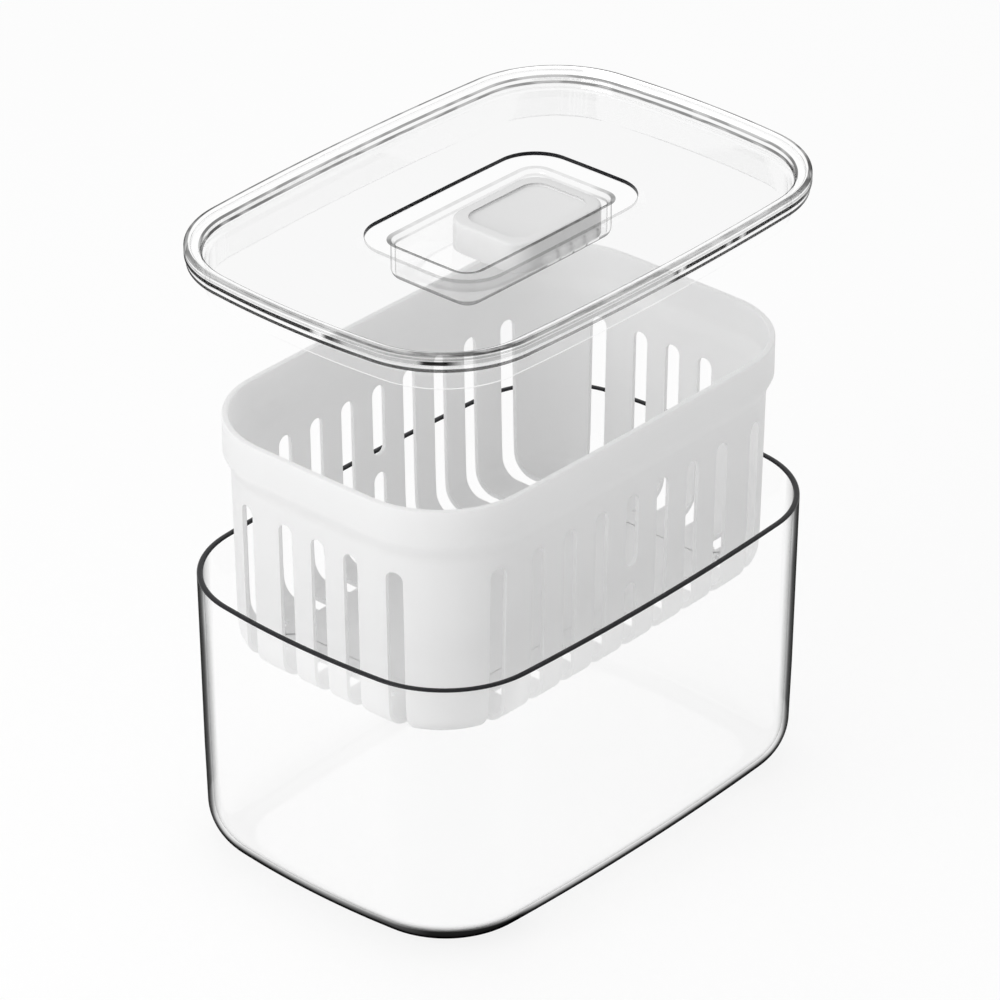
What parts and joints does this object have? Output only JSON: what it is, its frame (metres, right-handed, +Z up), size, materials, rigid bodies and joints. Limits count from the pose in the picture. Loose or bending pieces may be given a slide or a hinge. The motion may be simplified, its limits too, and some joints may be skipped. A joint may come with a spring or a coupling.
{
  "type": "storage organizer with basket",
  "caption": "Clear rounded storage bin with a lift-out slotted white basket and a recessed clear lid that holds a vent cap in a well, shown drawn apart.",
  "frame": {"origin": "centre of the bin's flat underside", "axes": "+Z up, +X along the long walls, -Y the front wall"},
  "size_m": [0.2928, 0.2026, 0.3248],
  "materials": {
    "clear_plastic": "clear polished",
    "white_plastic": "smooth satin, slightly translucent",
    "clear_silicone": "soft clear",
    "cap_plastic": "satin"
  },
  "bodies": {
    "bin": {"bin_shell": "clear_plastic"},
    "basket": {"basket": "white_plastic"},
    "lid": {"lid_shell": "clear_plastic", "lid_seal": "clear_silicone", "well_insert": "clear_plastic"},
    "cap": {"vent_cap": "cap_plastic"}
  },
  "joints": [
    {"name": "basket_slide", "type": "slide", "parent": "bin", "child": "basket", "axis": [0, 0, 1], "range_m": [-0.107, 0.06]},
    {"name": "lid_slide", "type": "slide", "parent": "basket", "child": "lid", "axis": [0, 0, 1], "range_m": [-0.0588, 0.05]},
    {"name": "cap_slide", "type": "slide", "parent": "lid", "child": "cap", "axis": [0, 0, 1], "range_m": [0, 0.03]}
  ]
}
